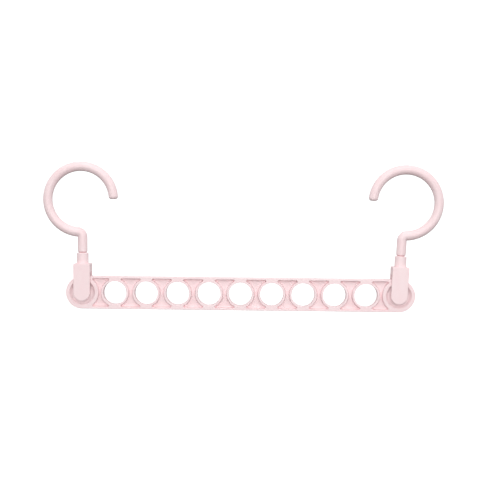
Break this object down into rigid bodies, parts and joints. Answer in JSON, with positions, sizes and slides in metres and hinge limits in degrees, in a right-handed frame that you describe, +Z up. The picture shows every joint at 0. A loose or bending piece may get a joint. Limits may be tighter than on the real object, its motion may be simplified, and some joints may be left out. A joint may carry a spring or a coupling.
{
  "type": "rotating multi-ring clothes hanger",
  "caption": "Long flat beam with a row of through rings, carried at each end by a pivoting fork and a turning round plastic hook.",
  "frame": {"origin": "centre of the middle ring, on the beam's mid plane", "axes": "+X along the beam to the right end, +Z up towards the hooks, -Y the front"},
  "size_m": [0.402, 0.0168, 0.1476],
  "materials": {
    "beam_plastic": "satin moulded polypropylene, pale pink",
    "yoke_plastic": "satin moulded polypropylene, pale pink",
    "pin_plastic": "satin moulded polypropylene, pale pink",
    "hook_plastic": "satin moulded polypropylene, pale pink"
  },
  "bodies": {
    "beam": {"beam": "beam_plastic"},
    "left_yoke": {"left_yoke": "yoke_plastic", "left_pivot_pin": "pin_plastic"},
    "right_yoke": {"right_yoke": "yoke_plastic", "right_pivot_pin": "pin_plastic"},
    "left_hook": {"left_hook": "hook_plastic"},
    "right_hook": {"right_hook": "hook_plastic"}
  },
  "joints": [
    {"name": "left_yoke_pivot", "type": "hinge", "parent": "beam", "child": "left_yoke", "pos_m": [-0.15875, 0, 0], "axis": [0, 1, 0], "range_deg": [-191.4, 12.6]},
    {"name": "right_yoke_pivot", "type": "hinge", "parent": "beam", "child": "right_yoke", "pos_m": [0.15875, 0, 0], "axis": [0, -1, 0], "range_deg": [-189.2, 14.8]},
    {"name": "left_hook_swivel", "type": "hinge", "parent": "left_yoke", "child": "left_hook", "pos_m": [-0.15917, 0, 0.0399], "axis": [-0.0105, 0, 0.9999], "continuous": true},
    {"name": "right_hook_swivel", "type": "hinge", "parent": "right_yoke", "child": "right_hook", "pos_m": [0.1607, 0, 0.03985], "axis": [0.0489, 0, 0.9988], "continuous": true}
  ]
}
